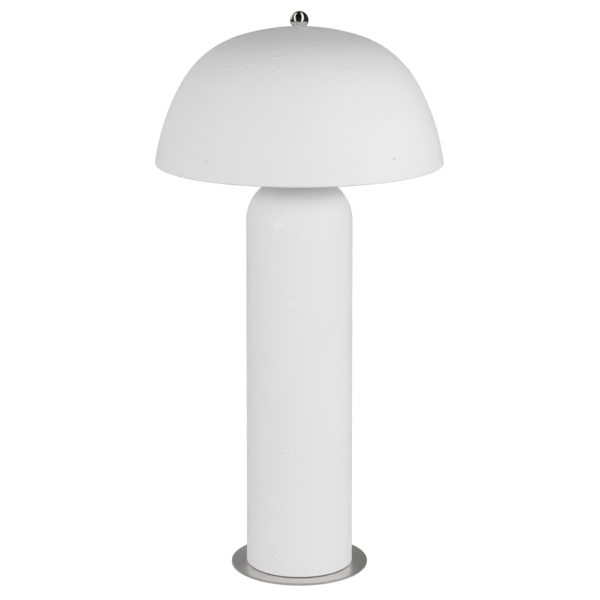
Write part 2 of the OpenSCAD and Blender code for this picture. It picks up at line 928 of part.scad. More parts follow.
// The body widens from the screw base and meets the diffuser's sphere at the same slope
module bulb_body() {
    steps = 8;
    root_z = base_top - neck_depth;
    rise = seam_z - base_top;
    widening = seam_r - thread_crest_r;
    power = (bulb_c - seam_z) / seam_r * rise / widening;
    out = [for (i = [0 : steps])
        [thread_crest_r + widening * pow(i / steps, power), base_top + rise * i / steps]];
    ledge_z = seam_z - ledge_t;
    floor_z = base_top + bulb_wall;
    inn = [for (p = out) if (p.y > floor_z && p.y < ledge_z) [min(p.x - bulb_wall, ledge_r), p.y]];
    color(FROST)
    rotate_extrude()
    polygon(concat(
        [[neck_r, root_z], [neck_r, base_top]],
        out,
        [[ledge_r, seam_z], [ledge_r, ledge_z]],
        reversed(inn),
        [[neck_r - bulb_wall, floor_z], [neck_r - bulb_wall, root_z]]
    ));
}

module light_board() {
    chip_inset = 2 * chip_w;
    color("#dfe3e2")
    union() {
        translate([0, 0, seam_z])
        cylinder(r = board_r, h = board_t);
        round_about(chip_count, board_r - chip_inset)
        translate([-chip_w / 2, -chip_w / 2, seam_z + board_t / 2])
        cube([chip_w, chip_w, board_t / 2 + chip_h]);
    }
}

module bulb_diffuser() {
    out_r = bulb_d / 2;
    from = asin((seam_z - bulb_c) / out_r);
    color(FROST)
    rotate_extrude()
    polygon(concat(
        arc([0, bulb_c], out_r, from, 90, 32),
        arc([0, bulb_c], out_r - bulb_wall, 90, asin((seam_z - bulb_c) / (out_r - bulb_wall)), 32)
    ));
}

foot_pads();
base_plate();
hub_screws();
rod_hub();
foot_gasket();
column();
cord_bushing();
threaded_rod();
top_grommet();
vase_cap();
cap_nut();
harp_saddle();
sleeve_left();
sleeve_right();
harp();
harp_swivel();
shade_washer();
shade();
finial();
socket_cap();
cap_set_screw();
socket_shell();
socket_liner();
switch_body();
terminal_screws();
screw_shell();
centre_contact();
switch_stem();
turn_knob();
bulb_contact();
bulb_insulator();
bulb_screw_base();
bulb_body();
light_board();
bulb_diffuser();
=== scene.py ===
from math import acos, asin, atan, atan2, cos, degrees, hypot, pi, radians, sin
import bmesh
import bpy
from mathutils import Matrix, Vector


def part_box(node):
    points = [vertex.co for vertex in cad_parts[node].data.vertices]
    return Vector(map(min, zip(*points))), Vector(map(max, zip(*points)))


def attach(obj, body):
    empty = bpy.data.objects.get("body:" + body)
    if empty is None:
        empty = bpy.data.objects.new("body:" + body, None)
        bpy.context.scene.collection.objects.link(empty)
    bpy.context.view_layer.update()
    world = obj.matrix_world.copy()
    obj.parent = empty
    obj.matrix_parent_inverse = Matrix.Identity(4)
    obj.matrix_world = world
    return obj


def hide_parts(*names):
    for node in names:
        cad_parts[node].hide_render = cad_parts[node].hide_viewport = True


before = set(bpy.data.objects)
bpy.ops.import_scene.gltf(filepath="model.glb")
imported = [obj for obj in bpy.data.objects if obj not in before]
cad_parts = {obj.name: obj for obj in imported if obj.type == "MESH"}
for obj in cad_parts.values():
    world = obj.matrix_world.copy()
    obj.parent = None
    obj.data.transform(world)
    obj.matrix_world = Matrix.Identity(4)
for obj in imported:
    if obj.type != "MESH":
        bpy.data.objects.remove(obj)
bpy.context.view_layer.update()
mm = 0.001
quarter = pi / 2
scene = bpy.context.scene
onAxis = 1e-6   # a smaller radius is a point on the axis
leastRound = 0.002   # a corner rounded by less stays sharp
edgeShare = 0.45   # most of an edge that one rounded corner takes
bevelFrom = radians(40)   # edges that turn by less get no bevel


def operator(kind, swapped=False):
    # one of Wire's operators: it adds a Math node for itself and the other value
    def apply(self, other):
        values = (other, self) if swapped else (self, other)
        return self.net.math(kind, *values)
    return apply


class Wire:
    # one socket of a node tree, so that node maths reads as plain expressions
    def __init__(self, net, made, output):
        self.net = net
        self.made = made
        self.socket = made.outputs[output]

    def out(self, name):
        return Wire(self.net, self.made, name)

    def outs(self, names):
        return [self.out(name) for name in names.split()]

    __add__ = operator("ADD")
    __radd__ = operator("ADD", swapped=True)
    __sub__ = operator("SUBTRACT")
    __rsub__ = operator("SUBTRACT", swapped=True)
    __mul__ = operator("MULTIPLY")
    __rmul__ = operator("MULTIPLY", swapped=True)
    __truediv__ = operator("DIVIDE")
    __rtruediv__ = operator("DIVIDE", swapped=True)
    __gt__ = operator("GREATER_THAN")
    __lt__ = operator("LESS_THAN")


class Net:
    # builds one node tree, for a material, the world or a mesh
    def __init__(self, tree):
        self.tree = tree
        tree.nodes.clear()

    def node(self, kind, inputs=None, settings=None, output=0):
        made = self.tree.nodes.new(kind)
        for name, value in (settings or {}).items():
            setattr(made, name, value)
        for name, value in (inputs or {}).items():
            self.feed(made.inputs[name], value)
        return Wire(self, made, output) if made.outputs else made

    def feed(self, socket, value):
        if isinstance(value, Wire):
            self.tree.links.new(value.socket, socket)
        elif socket.type == "RGBA":
            socket.default_value = (*value, 1)
        else:
            socket.default_value = value

    def math(self, operation, *values):
        return self.node("ShaderNodeMath", dict(enumerate(values)), {"operation": operation})

    def vector(self, operation, values, output=0):
        return self.node("ShaderNodeVectorMath", dict(enumerate(values)), {"operation": operation}, output)

    def length(self, value):
        return self.vector("LENGTH", [value], "Value")

    def sin(self, value):
        return self.math("SINE", value)

    def cos(self, value):
        return self.math("COSINE", value)

    def clamp(self, value):
        return self.node("ShaderNodeClamp", {"Value": value})

    def ramp(self, value, start, end):
        # 0 before start, 1 after end, straight between them
        return self.clamp((value - start) / (end - start))

    def split(self, value):
        parts = self.node("ShaderNodeSeparateXYZ", {0: value})
        return parts, parts.out("Y"), parts.out("Z")

    def join(self, x, y, z):
        return self.node("ShaderNodeCombineXYZ", {0: x, 1: y, 2: z})

    def around(self, radius, turn, height):
        # the point at a radius and a turn round the axis
        return self.join(radius * self.cos(turn), radius * self.sin(turn), height)

    def mix(self, factor, first, second):
        # the colour sockets of a Mix node are its seventh and eighth
        return self.node("ShaderNodeMix", {0: factor, 6: first, 7: second}, {"data_type": "RGBA"}, 2)

    def stretched(self, point, scale):
        return self.node("ShaderNodeMapping", {"Vector": point, "Scale": scale})

    def noise(self, point, scale, detail=2.0, rough=0.5, warp=0.0, seed=0.0):
        # swings evenly about nought; a scale of three values stretches it
        if isinstance(scale, tuple):
            point, scale = self.stretched(point, scale), 1.0
        return self.node("ShaderNodeTexNoise", {
            "Vector": point, "W": seed, "Scale": scale, "Detail": detail, "Roughness": rough,
            "Distortion": warp
        }, {"noise_dimensions": "4D"}) - 0.5

    def cells(self, point, scale):
        return self.node("ShaderNodeTexVoronoi", {"Vector": point, "Scale": scale})


# meshes

def added(data):
    # an object in the scene for a mesh, a lamp or a camera
    thing = bpy.data.objects.new(data.name, data)
    scene.collection.objects.link(thing)
    return thing


def sizes(look, names):
    return [look[name] for name in names.split()]


def smoothed(thing, crease=34):
    thing.data.shade_smooth()
    thing.data.set_sharp_from_angle(angle=radians(crease))
    return thing


def shaped(shape, place=None):
    # makes a smooth object of what bmesh holds
    if place:
        shape.transform(place)
    mesh = bpy.data.meshes.new("shape")
    shape.to_mesh(mesh)
    shape.free()
    return smoothed(added(mesh))


def baked(thing):
    # turns the result of the live modifiers into a plain mesh
    bpy.context.view_layer.update()
    graph = bpy.context.evaluated_depsgraph_get()
    live = thing.evaluated_get(graph)
    mesh = bpy.data.meshes.new_from_object(live, preserve_all_data_layers=True, depsgraph=graph)
    thing.modifiers.clear()
    thing.data = mesh
    return thing


def placed(thing, name, body, finish, node):
    # gives a finished piece its material and hands it over to the frame
    thing.data.materials.clear()
    thing.data.materials.append(finish)
    thing.name = name
    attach(thing, body)
    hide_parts(node)


def heights(node):
    # where a CAD node starts and ends, in millimetres
    low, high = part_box(node)
    return low.z / mm, high.z / mm


def along(axis, centre):
    # turns a piece's Z axis to the given axis and moves it to centre, in millimetres
    turn = Vector((0, 0, 1)).rotation_difference(Vector(axis)).to_matrix().to_4x4()
    return Matrix.Translation(Vector(centre) * mm) @ turn


def arcPoints(centre, radius, start, end, steps):
    # points on an arc, with angles in degrees
    points = []
    for step in range(steps + 1):
        angle = radians(start + (end - start) * step / steps)
        points.append((centre[0] + radius * cos(angle), centre[1] + radius * sin(angle)))
    return points


def softened(corners, radius, steps=3):
    # a closed outline with each corner rounded off; a corner given with its own radius keeps that
    points = []
    for place, corner in enumerate(corners):
        here = Vector(corner[:2])
        before = Vector(corners[place - 1][:2]) - here
        after = Vector(corners[(place + 1) % len(corners)][:2]) - here
        size = corner[2] if len(corner) > 2 else radius
        size = min(size, before.length * edgeShare, after.length * edgeShare)
        if size < leastRound:
            points.append(tuple(here))
            continue
        start = here + before.normalized() * size
        end = here + after.normalized() * size
        for step in range(steps + 1):
            t = step / steps
            points.append(tuple((1 - t) ** 2 * start + 2 * t * (1 - t) * here + t * t * end))
    return points


def turned(outline, steps=96, place=None):
    # spins a closed outline of (radius, height) pairs in millimetres round Z
    shape = bmesh.new()
    rings = []
    for radius, height in outline:
        across = radius * mm
        angles = [2 * pi * step / steps for step in range(steps if radius > onAxis else 1)]
        rings.append([shape.verts.new((across * cos(a), across * sin(a), height * mm)) for a in angles])
    for lower, upper in zip(rings, rings[1:] + rings[:1]):
        for step in range(steps):
            after = (step + 1) % steps
            corners = [lower[step % len(lower)], lower[after % len(lower)]]
            corners += [upper[after % len(upper)], upper[step % len(upper)]]
            corners = list(dict.fromkeys(corners))   # a ring on the axis is one point
            if len(corners) > 2:
                shape.faces.new(corners)
    bmesh.ops.recalc_face_normals(shape, faces=shape.faces)
    return shaped(shape, place)


def plug(radius, low, high, steps, place=None):
    # a plain cylinder to cut with
    return turned([(0, low), (radius, low), (radius, high), (0, high)], steps, place)


def extruded(outline, depth, place, bevel=0.0):
    # a flat outline in millimetres, pushed out along Z on both sides of its plane
    shape = bmesh.new()
    bottom = shape.faces.new([shape.verts.new((x * mm, y * mm, -depth * mm / 2)) for x, y in outline])
    pushed = bmesh.ops.extrude_face_region(shape, geom=[bottom])["geom"]
    moved = [item for item in pushed if isinstance(item, bmesh.types.BMVert)]
    bmesh.ops.translate(shape, vec=(0, 0, depth * mm), verts=moved)
    bmesh.ops.recalc_face_normals(shape, faces=shape.faces)
    if bevel:
        sharp = [edge for edge in shape.edges if edge.calc_face_angle(0) > bevelFrom]
        bmesh.ops.bevel(shape, geom=sharp, offset=bevel * mm, segments=2, affect="EDGES", profile=0.5)
    return shaped(shape, place)


def joined(*things):
    shape = bmesh.new()
    for thing in things:
        shape.from_mesh(thing.data)
        bpy.data.objects.remove(thing)
    return shaped(shape)


def cutBy(thing, *cutters, operation="DIFFERENCE"):
    for cutter in cutters:
        knife = thing.modifiers.new("cut", "BOOLEAN")
        knife.solver = "EXACT"
        knife.operation = operation
        knife.object = cutter
        baked(thing)
        bpy.data.objects.remove(cutter)
    return smoothed(thing)


# node trees that make meshes

inputKinds = {
    "meshes": ("Geometry", None),
    "lengths": ("Float", "DISTANCE"),
    "angles": ("Float", "ANGLE"),
    "numbers": ("Float", None),
    "counts": ("Int", None),
    "pieces": ("Object", None),
    "finishes": ("Material", None),
}
inputUnits = {"DISTANCE": mm, "ANGLE": radians(1)}   # a look gives millimetres and degrees


def meshTree(name, **inputs):
    # a new tree with one named input for each size
    tree = bpy.data.node_groups.new(name, "GeometryNodeTree")
    for group, labels in {**inputs, "finishes": "finish"}.items():
        kind, unit = inputKinds[group]
        for label in labels.split():
            socket = tree.interface.new_socket(label, in_out="INPUT", socket_type="NodeSocket" + kind)
            if unit:
                socket.subtype = unit
    tree.interface.new_socket("mesh", in_out="OUTPUT", socket_type="NodeSocketGeometry")
    net = Net(tree)
    return net, net.node("NodeGroupInput")


def closeTree(net, entry, shape):
    whole = net.node("GeometryNodeRealizeInstances", {0: shape})
    whole = net.node("GeometryNodeSetMaterial", {"Geometry": whole, "Material": entry.out("finish")})
    net.node("NodeGroupOutput", {0: whole})
    return net.tree


def grown(tree, look, finish, host=None, **others):
    # runs a mesh tree with the sizes of a look and some others, and keeps the result as a plain mesh
    thing = host or added(bpy.data.meshes.new("grown"))
    builder = thing.modifiers.new("build", "NODES")
    builder.node_group = tree
    values = {**look, **others, "finish": finish}
    for item in tree.interface.items_tree:
        if item.in_out == "INPUT" and item.name in values:
            unit = inputUnits.get(getattr(item, "subtype", None))
            value = values[item.name]
            builder[item.identifier] = value * unit if unit else value
    return smoothed(baked(thing))


def wrapGrid(net, entry, runs):
    # a flat grid whose X becomes the turn round the axis and whose Y becomes the way along the outline;
    # each run of the outline gives a value that goes from 0 at its start to 1 at its end
    total = sum(runs.values())
    grid = net.node("GeometryNodeMeshGrid", {
        "Size X": 1.0, "Size Y": 1.0, "Vertices X": entry.out("around") + 1, "Vertices Y": total + 1
    })
    x, y, z = net.split(net.node("GeometryNodeInputPosition"))
    way = y + 0.5
    stages = []
    done = 0
    for steps in runs.values():
        stages.append(net.ramp(way, done / total, (done + steps) / total))
        done += steps
    return grid, (x + 0.5) * (2 * pi), stages


def closeWrap(net, entry, grid, turn, radius, height):
    place = net.around(radius, turn, height)
    moved = net.node("GeometryNodeSetPosition", {"Geometry": grid, "Position": place})
    merged = net.node("GeometryNodeMergeByDistance", {"Geometry": moved, "Distance": 2e-6})
    return closeTree(net, entry, merged)


def domeTree(runs):
    # a shell of three tangent arcs with a rounded lip and a hole in its crown
    net, entry = meshTree(
        "dome of three arcs", numbers="waveScale seed", counts="around",
        lengths="crownRadius haunchRadius sideRadius wall holeRadius top bossRadius bossHeight waviness",
        angles="crownAngle haunchAngle rimAngle",
    )
    grid, turn, (inside, lip, outside, hole) = wrapGrid(net, entry, runs)
    crownR, haunchR, sideR, wall = entry.outs("crownRadius haunchRadius sideRadius wall")
    crownA, haunchA, rimA = entry.outs("crownAngle haunchAngle rimAngle")
    holeA = net.math("ARCSINE", entry.out("holeRadius") / crownR)
    angle = holeA + (rimA - holeA) * (inside - outside)
    pastCrown = angle > crownA
    pastHaunch = angle > haunchA
    radius = crownR + pastCrown * (haunchR - crownR) + pastHaunch * (sideR - haunchR)
    firstStep = pastCrown * (crownR - haunchR)
    secondStep = pastHaunch * (haunchR - sideR)
    centreR = firstStep * net.sin(crownA) + secondStep * net.sin(haunchA)
    centreZ = entry.out("top") - crownR + firstStep * net.cos(crownA) + secondStep * net.cos(haunchA)
    depth = wall * (0.5 + 0.5 * net.cos(pi * lip) + hole)
    lipOut = wall * 0.5 * net.sin(pi * lip)
    outward = net.around(net.sin(angle), turn, net.cos(angle))
    wave = net.noise(outward, entry.out("waveScale"), detail=3.0, seed=entry.out("seed"))
    reach = radius - depth + wave * 2 * entry.out("waviness")
    across = centreR + reach * net.sin(angle) + lipOut * net.cos(angle)
    height = centreZ + reach * net.cos(angle) - lipOut * net.sin(angle)
    boss = (depth > wall * 0.5) * (across < entry.out("bossRadius"))
    height = height + boss * (entry.out("bossHeight") - height)
    return closeWrap(net, entry, grid, turn, across, height)


def vesselTree(runs):
    # an upright hollow body: bevelled foot, slight taper, quarter-round shoulder, flat top with a hole
    lengths = "footRadius neckRadius shoulder foot height wall holeRadius bevel"
    net, entry = meshTree(
        "round shouldered body", lengths=lengths + " waviness", numbers="waveScale seed", counts="around"
    )
    grid, turn, stages = wrapGrid(net, entry, runs)
    base, edge, side, bend, top, bore, under, back, down = stages
    footR, neckR, shoulder, foot, tall, wall, hole, bevel = entry.outs(lengths)
    flat = neckR - shoulder
    innerBend = shoulder - wall
    innerTurn = back * quarter
    across = footR - wall + (wall - bevel) * base + bevel * net.sin(edge * quarter)
    across = across + (neckR - footR) * side - shoulder * (1 - net.cos(bend * quarter))
    across = across + (hole - flat) * top + (flat - hole) * under + innerBend * net.sin(innerTurn)
    across = across + (footR - neckR) * down
    height = foot + bevel * (1 - net.cos(edge * quarter)) + (tall - shoulder - bevel) * side
    height = height + shoulder * net.sin(bend * quarter) - wall * bore
    height = height - innerBend * (1 - net.cos(innerTurn)) - (tall - shoulder) * down
    place = net.around(across, turn, height * 0.35)   # waves run upwards
    wave = net.noise(place, entry.out("waveScale"), seed=entry.out("seed"))
    across = across + wave * 2 * entry.out("waviness") * side * (1 - top)
    return closeWrap(net, entry, grid, turn, across, height)


def threadTree(runs):
    # a shell with a rolled helical thread between two plain collars
    lengths = "crest depth pitch wall low high collar"
    net, entry = meshTree("rolled thread", lengths=lengths, counts="around")
    grid, turn, (down, foot, up, head) = wrapGrid(net, entry, runs)
    crest, depth, pitch, wall, low, high, collar = entry.outs(lengths)
    height = high + (low - high) * (down - up)
    phase = turn - height * (2 * pi) / pitch
    fade = net.clamp((height - low) / collar) * net.clamp((high - height) / collar)
    groove = depth * (0.5 - 0.5 * net.cos(phase)) * fade
    across = crest - groove - wall * (1 - foot + head)
    return closeWrap(net, entry, grid, turn, across, height)


def flutedTree(runs):
    # a knob with flutes along its side, a rounded end and a bore
    lengths = "radius length bore boreDepth round fluteDepth fluteStart fluteRamp"
    net, entry = meshTree("fluted knob", lengths=lengths, numbers="fluteGap", counts="around flutes")
    grid, turn, (floor, hole, foot, side, edge, face) = wrapGrid(net, entry, runs)
    wide, length, bore, boreDepth, soft, fluteDepth, fluteStart, fluteRamp = entry.outs(lengths)
    across = bore * floor + (wide - bore) * foot
    across = across - soft * (1 - net.cos(edge * quarter)) - (wide - soft) * face
    height = boreDepth - boreDepth * hole + (length - soft) * side + soft * net.sin(edge * quarter)
    wave = net.cos(turn * entry.out("flutes"))
    cut = net.clamp((height - fluteStart) / fluteRamp) * (side > 0) * (1 - face)
    gap = entry.out("fluteGap")
    groove = net.math("MAXIMUM", wave - gap, 0.0) / (1 - gap)
    across = across - fluteDepth * cut * net.math("SQRT", groove)
    return closeWrap(net, entry, grid, turn, across, height)


def wireTree():
    # a round wire that follows a path
    net, entry = meshTree("wire on a path", meshes="path", lengths="wire", counts="sides")
    path = net.node("GeometryNodeMeshToCurve", {"Mesh": entry.out("path")})
    ring = net.node("GeometryNodeCurvePrimitiveCircle", {
        "Resolution": entry.out("sides"), "Radius": entry.out("wire")
    })
    tube = net.node("GeometryNodeCurveToMesh", {"Curve": path, "Profile Curve": ring, "Fill Caps": True})
    return closeTree(net, entry, tube)


def ringTree():
    # copies of one small piece, evenly spaced round the axis
    net, entry = meshTree(
        "pieces on a circle", lengths="circle", angles="start", counts="count", pieces="piece"
    )
    points = net.node("GeometryNodeMeshCircle", {
        "Vertices": entry.out("count"), "Radius": entry.out("circle")
    })
    start = net.join(0.0, 0.0, entry.out("start"))
    points = net.node("GeometryNodeTransform", {"Geometry": points, "Rotation": start})
    x, y, z = net.split(net.node("GeometryNodeInputPosition"))
    facing = net.join(0.0, 0.0, net.math("ARCTAN2", y, x))
    piece = net.node("GeometryNodeObjectInfo", {"Object": entry.out("piece")}, output="Geometry")
    copies = net.node("GeometryNodeInstanceOnPoints", {
        "Points": points, "Instance": piece, "Rotation": facing
    })
    return closeTree(net, entry, copies)


def ringOf(piece, look, finish):
    ring = grown(ringTree(), look, finish, piece=piece)
    bpy.data.objects.remove(piece)
    return ring


# finishes

def newFinish(name):
    material = bpy.data.materials.new(name)
    material.use_nodes = True
    net = Net(material.node_tree)
    return material, net, net.node("ShaderNodeTexCoord", output="Object")


def closeFinish(net, values, heightInMm):
    values["Normal"] = net.node("ShaderNodeBump", {"Strength": 1.0, "Distance": mm, "Height": heightInMm})
    shader = net.node("ShaderNodeBsdfPrincipled", values)
    net.node("ShaderNodeOutputMaterial", {"Surface": shader})


def ceramicFinish(name, look, spread):
    # matt glaze over rough clay: a fine grain, soft lumps, clumps of raised marks, some pits and specks; the
    # raised marks and specks are also painted lighter, a painted highlight, and the pits and the chip
    # painted darker, a painted shade
    material, net, point = newFinish(name)
    x, y, height = net.split(point)
    laid, worked = spread(net, x, y, height)
    cloud = net.noise(point, look["cloudScale"], detail=4.0, rough=0.6)
    grain = net.noise(point, look["grainScale"], detail=3.0, rough=0.65)
    lumps = net.noise(laid, look["lumpStretch"], detail=3.0, rough=0.6, warp=0.6, seed=3.0)
    marks = net.noise(laid, look["markStretch"], detail=1.5, warp=0.9, seed=7.0)
    clumps = net.ramp(net.noise(point, look["clumpScale"], seed=11.0), *look["clumpSpan"])
    worked = worked * clumps * (1 - look["markShare"]) + look["markShare"]
    mark = net.ramp(marks + worked * look["markLift"], *look["markSpan"])
    cell = net.cells(point, look["pitScale"])
    chosen, green, blue = net.split(cell.out("Color"))
    pit = net.clamp((look["pitSize"] - cell) / (look["pitEdge"] * look["pitSize"]))
    pit = pit * (chosen > 1 - look["pitShare"])
    speck = net.clamp((look["speckSize"] - cell) / look["speckSize"]) * (green > 1 - look["speckShare"])
    offset = net.vector("SUBTRACT", [point, look["dentPlace"]])
    dent = 1 - net.ramp(net.length(net.stretched(offset, look["dentStretch"])), *look["dentSpan"])
    # raised marks and specks are painted lighter: a painted highlight where light catches them
    tone = cloud * look["cloud"] + lumps * look["lumpTone"] + mark * look["markHighlightTone"]
    tone = net.mix(tone + speck * look["speckHighlightTone"] + 0.5, *look["tones"])
    # the pits are painted darker as well as sunk: a painted shade in their hollows
    tone = net.mix(pit * look["pitShadeTone"], tone, look["pitShadeColour"])
    # the chip is painted darker as well as sunk: a painted shade in it
    tone = net.mix(dent * look["dentShadeTone"], tone, look["pitShadeColour"])
    relief = grain * look["grainHeight"] + lumps * look["lumpHeight"] + mark * look["markHeight"]
    relief = relief - pit * look["pitDepth"] + speck * look["speckHeight"] - dent * look["dentDepth"]
    closeFinish(net, {
        "Base Color": tone,
        "Roughness": look["roughness"] + cloud * look["cloudRough"] + grain * look["grainRough"],
        "Specular IOR Level": look["specular"],
    }, relief)
    return material


domeTop = 0.738   # height of the dome's top
crownSpan = (0.640, 0.690)   # heights between which the marks on the dome set in
seamTurn = radians(-22)   # from the front, to the left
seamSpan = (0.90, 0.99)   # cosine of the turn away from the seam


def onTheDome(net, x, y, height):
    # marks lie in rings, by the way down from the dome's top, and set in on its crown
    return net.join(x, y, net.length(net.join(x, y, height - domeTop))), net.ramp(height, *crownSpan)


def onTheColumn(net, x, y, height):
    # the clay was worked most where its two ends met
    reach = net.length(net.join(x, y, 0.0))
    seam = net.ramp((x * sin(seamTurn) - y * cos(seamTurn)) / reach, *seamSpan)
    return net.join(x, y, height), seam


ceramicLook = {
    "tones": ((0.793, 0.791, 0.798), (0.863, 0.861, 0.868)),   # darkest and lightest
    "roughness": 0.60, "specular": 0.35,
    "cloud": 0.30, "cloudScale": 16.0, "cloudRough": 0.12,
    "grainScale": 620.0, "grainHeight": 0.06, "grainRough": 0.08,
    "lumpStretch": (90, 90, 130), "lumpHeight": 0.22, "lumpTone": 0.15,
    "markStretch": (75, 75, 230), "markShare": 0.0, "markLift": 0.16, "markSpan": (0.16, 0.34),
    # the mark tone below lightens the raised marks: a painted highlight
    "markHeight": 0.42, "markHighlightTone": 0.7,
    "clumpScale": 26.0, "clumpSpan": (-0.05, 0.10),
    # the pit tone and colour below darken the pits and the chip: painted shade
    "pitScale": 95.0, "pitSize": 0.16, "pitEdge": 0.35, "pitShare": 0.006, "pitDepth": 0.4, "pitShadeTone": 0.30,
    "pitShadeColour": (0.45, 0.45, 0.44),
    # the speck tone below lightens the raised specks: a painted highlight
    "speckSize": 0.20, "speckShare": 0.02, "speckHeight": 0.30, "speckHighlightTone": 0.3,
    # the chip below is painted darker, a painted shade, besides its dent
    "dentPlace": (0.1180, -0.1424, 0.5881),   # one small chip, low on the right of the dome
    "dentStretch": (300, 300, 700), "dentSpan": (0.5, 1.0), "dentDepth": 0.35, "dentShadeTone": 0.45,
}
shadeCeramic = ceramicFinish("shadeCeramic", ceramicLook, onTheDome)
columnCeramic = ceramicFinish("columnCeramic", {
    **ceramicLook,
    "lumpStretch": (110, 110, 80), "lumpHeight": 0.20,
    "markStretch": (105, 105, 90), "markShare": 0.10, "markHeight": 0.50,
    "clumpScale": 34.0, "clumpSpan": (-0.04, 0.10),
}, onTheColumn)


metalLook = {
    "tones": ((0.55, 0.53, 0.50), (0.72, 0.70, 0.67)),
    "roughness": 0.30, "anisotropy": 0.0,
    "streak": (300, 300, 900),   # how fine the brush lines are along each axis
    "ringScale": 0.0, "ringRise": 40.0,   # or in circles about the axis
    "lineTone": 1.0, "lineRough": 0.14, "lineDepth": 0.004,
    "smudgeScale": 30.0, "smudgeTone": 0.5, "smudgeRough": 0.08,
}


def metalFinish(name, **changes):
    look = {**metalLook, **changes}
    material, net, point = newFinish(name)
    if look["ringScale"]:
        x, y, z = net.split(point)
        radius = net.length(net.join(x, y, 0.0))
        rings = net.join(radius * look["ringScale"], 0.0, z * look["ringRise"])
        lines = net.noise(rings, 1.0, detail=4.0, rough=0.75)
    else:
        lines = net.noise(point, look["streak"], detail=4.0, rough=0.7)
    smudge = net.noise(point, look["smudgeScale"], detail=3.0, rough=0.55, seed=5.0)
    tone = lines * look["lineTone"] + smudge * look["smudgeTone"] + 0.5
    closeFinish(net, {
        "Base Color": net.mix(tone, *look["tones"]),
        "Metallic": 1.0,
        "Roughness": look["roughness"] + lines * look["lineRough"] + smudge * look["smudgeRough"],
        "Anisotropic": look["anisotropy"],
    }, lines * look["lineDepth"])
    return material


plateNickel = metalFinish(
    "plateNickel", tones=((0.66, 0.645, 0.615), (0.82, 0.805, 0.775)),
    ringScale=2600.0, lineDepth=0.003, anisotropy=0.7
)
satinNickel = metalFinish("satinNickel", streak=(160, 160, 2600), roughness=0.27)
polishedNickel = metalFinish(
    "polishedNickel", tones=((0.76, 0.75, 0.73), (0.82, 0.81, 0.79)), roughness=0.12,
    streak=(500, 500, 60), lineRough=0.03, lineDepth=0.0, smudgeRough=0.03
)
zincSteel = metalFinish(
    "zincSteel", tones=((0.48, 0.49, 0.50), (0.66, 0.68, 0.70)), roughness=0.34,
    smudgeScale=160.0, smudgeTone=1.2
)
brassFinish = metalFinish(
    "brassFinish", tones=((0.56, 0.39, 0.16), (0.78, 0.58, 0.27)), roughness=0.28,
    smudgeScale=120.0, smudgeTone=1.0
)
mouldedLook = {
    "tones": ((0.018, 0.018, 0.019), (0.035, 0.035, 0.036)),
    "roughness": 0.45, "coat": 0.0, "depth": 0.0,
    "flowStretch": (40, 40, 90), "flowTone": 1.2, "flowRough": 0.15,
    "grainScale": 2600.0, "grainHeight": 0.012,
}


def mouldedFinish(name, **changes):
    # plastics and rubber: fine moulded grain, faint flow marks and dust
    look = {**mouldedLook, **changes}
    material, net, point = newFinish(name)
    grain = net.noise(point, look["grainScale"], rough=0.6)
    flow = net.noise(point, look["flowStretch"], detail=3.0, rough=0.6, warp=0.4, seed=2.0)
    closeFinish(net, {
        "Base Color": net.mix(flow * look["flowTone"] + 0.5, *look["tones"]),
        "Roughness": look["roughness"] + flow * look["flowRough"],
        "Coat Weight": look["coat"],
        "Subsurface Weight": look["depth"],
        "Subsurface Radius": (1.0, 1.0, 1.0),
        "Subsurface Scale": 0.004,
    }, grain * look["grainHeight"])
    return material


blackPlastic = mouldedFinish("blackPlastic")
phenolic = mouldedFinish("phenolic", roughness=0.22, grainHeight=0.004, coat=0.3)
blackRubber = mouldedFinish(
    "blackRubber", tones=((0.026, 0.026, 0.026), (0.050, 0.049, 0.048)), roughness=0.78,
    grainHeight=0.03
)
whitePlastic = mouldedFinish(
    "whitePlastic", tones=((0.78, 0.78, 0.76), (0.84, 0.84, 0.82)), roughness=0.36,
    grainHeight=0.006
)
frostedPlastic = mouldedFinish(
    "frostedPlastic", tones=((0.84, 0.84, 0.825), (0.90, 0.90, 0.885)), roughness=0.52,
    grainHeight=0.008, depth=0.15
)
boardFinish = mouldedFinish(
    "boardFinish", tones=((0.70, 0.73, 0.72), (0.80, 0.82, 0.81)), roughness=0.40
)


def cardFinish(name, look):
    # pressed card: fibres that lie round the sleeve, and dark flecks
    material, net, point = newFinish(name)
    fibres = net.noise(point, look["fibreStretch"], detail=4.0, rough=0.7, warp=0.8)
    flecks = net.ramp(net.cells(point, look["fleckScale"]), *look["fleckSpan"])
    tone = net.mix(fibres + 0.5, *look["tones"])
    tone = net.mix(flecks, tone, look["fleckTone"])
    closeFinish(net, {"Base Color": tone, "Roughness": look["roughness"]}, fibres * look["fibreHeight"])
    return material


cardLiner = cardFinish("cardLiner", {
    "tones": ((0.38, 0.29, 0.17), (0.56, 0.45, 0.29)), "fleckTone": (0.24, 0.17, 0.10),
    "roughness": 0.85, "fibreStretch": (220, 220, 1500), "fibreHeight": 0.05,
    "fleckScale": 700.0, "fleckSpan": (0.16, -0.04),
})
print("finishes ready")


# the two ceramic pieces

def tangentArcs(look):
    # radii of the two lower arcs, which follow from the dome's width, height and angles
    crownA, haunchA, rimA = [radians(angle) for angle in sizes(look, "crownAngle haunchAngle rimAngle")]
    lip = look["wall"] / 2
    runR = look["width"] / 2 - lip * (1 - sin(rimA)) - look["crownRadius"] * sin(crownA)
    runZ = look["height"] - lip * (1 + cos(rimA)) - look["crownRadius"] * (1 - cos(crownA))
    haunchDr = sin(haunchA) - sin(crownA)
    haunchDz = cos(crownA) - cos(haunchA)
    sideDr = sin(rimA) - sin(haunchA)
    sideDz = cos(haunchA) - cos(rimA)
    scale = haunchDr * sideDz - sideDr * haunchDz
    return (runR * sideDz - runZ * sideDr) / scale, (haunchDr * runZ - haunchDz * runR) / scale


